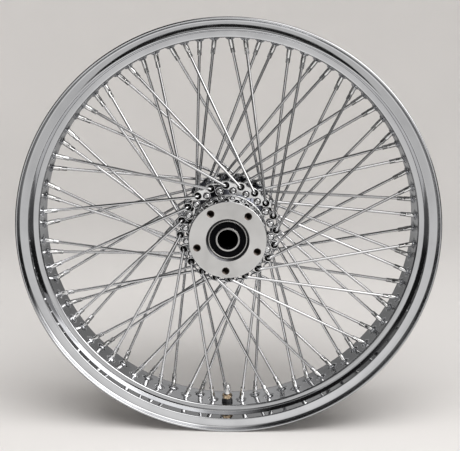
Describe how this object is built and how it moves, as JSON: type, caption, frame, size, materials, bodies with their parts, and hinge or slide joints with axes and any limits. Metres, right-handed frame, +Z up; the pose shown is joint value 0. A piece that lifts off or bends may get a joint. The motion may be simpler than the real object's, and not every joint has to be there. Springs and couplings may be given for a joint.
{
  "type": "spoked motorcycle wheel",
  "caption": "Chromed wire-spoked motorcycle front wheel with a wide hub for two brake discs, bearings, nipples and a valve.",
  "frame": {"origin": "wheel's centre, on the axle line midway between the rim flanges", "axes": "Y runs along the axle, with the front brake disc face towards -Y; +Z is up, with the valve at the foot of the wheel"},
  "size_m": [0.564, 0.1544, 0.564],
  "materials": {
    "chromed_rim": "bright chrome",
    "chromed_spoke": "bright chrome",
    "chromed_nipple": "bright chrome",
    "polished_hub": "chrome plated, with turned faces",
    "plain_steel": "plain steel",
    "bearing_steel": "ground steel",
    "cage_plastic": "moulded",
    "black_rubber": "matt",
    "brass": "machined",
    "chromed_cap": "bright chrome"
  },
  "bodies": {
    "axle_parts": {"front_bearing_inner_race": "bearing_steel", "rear_bearing_inner_race": "bearing_steel", "bearing_spacer": "plain_steel"},
    "wheel": {"rim": "chromed_rim", "rim_band": "black_rubber", "front_outer_spokes": "chromed_spoke", "front_inner_spokes": "chromed_spoke", "rear_outer_spokes": "chromed_spoke", "rear_inner_spokes": "chromed_spoke", "front_outer_nipples": "chromed_nipple", "front_inner_nipples": "chromed_nipple", "rear_outer_nipples": "chromed_nipple", "rear_inner_nipples": "chromed_nipple", "hub_shell": "polished_hub", "front_bearing_outer_race": "bearing_steel", "front_bearing_outer_seal": "black_rubber", "front_bearing_inner_seal": "black_rubber", "rear_bearing_outer_race": "bearing_steel", "rear_bearing_outer_seal": "black_rubber", "rear_bearing_inner_seal": "black_rubber", "valve_grommet": "black_rubber", "valve_stem": "brass", "valve_nut": "brass", "valve_core_body": "brass", "valve_core_spring": "plain_steel"},
    "front_ball_set": {"front_bearing_balls": "bearing_steel", "front_bearing_cage": "cage_plastic"},
    "rear_ball_set": {"rear_bearing_balls": "bearing_steel", "rear_bearing_cage": "cage_plastic"},
    "valve_pin": {"valve_core_pin": "brass"},
    "valve_cap_body": {"valve_cap": "chromed_cap"}
  },
  "joints": [
    {"name": "wheel_spin", "type": "hinge", "parent": "axle_parts", "child": "wheel", "pos_m": [0, 0, 0], "axis": [0, 1, 0], "continuous": true},
    {"name": "front_balls_orbit", "type": "hinge", "parent": "axle_parts", "child": "front_ball_set", "pos_m": [0, -0.0662, 0], "axis": [0, 1, 0], "continuous": true},
    {"name": "rear_balls_orbit", "type": "hinge", "parent": "axle_parts", "child": "rear_ball_set", "pos_m": [0, 0.0662, 0], "axis": [0, 1, 0], "continuous": true},
    {"name": "valve_pin_press", "type": "slide", "parent": "wheel", "child": "valve_pin", "axis": [0, 0, -1], "range_m": [0, 0.0015], "stiffness_N_per_m": 400, "springref_m": -0.002, "deforming": ["valve_core_spring"]},
    {"name": "valve_cap_pull", "type": "slide", "parent": "wheel", "child": "valve_cap_body", "axis": [0, 0, 1], "range_m": [0, 0.014]}
  ],
  "couplings": [
    {"joint": "front_balls_orbit", "follows": "wheel_spin", "ratio": 0.6017},
    {"joint": "rear_balls_orbit", "follows": "wheel_spin", "ratio": 0.6017}
  ]
}
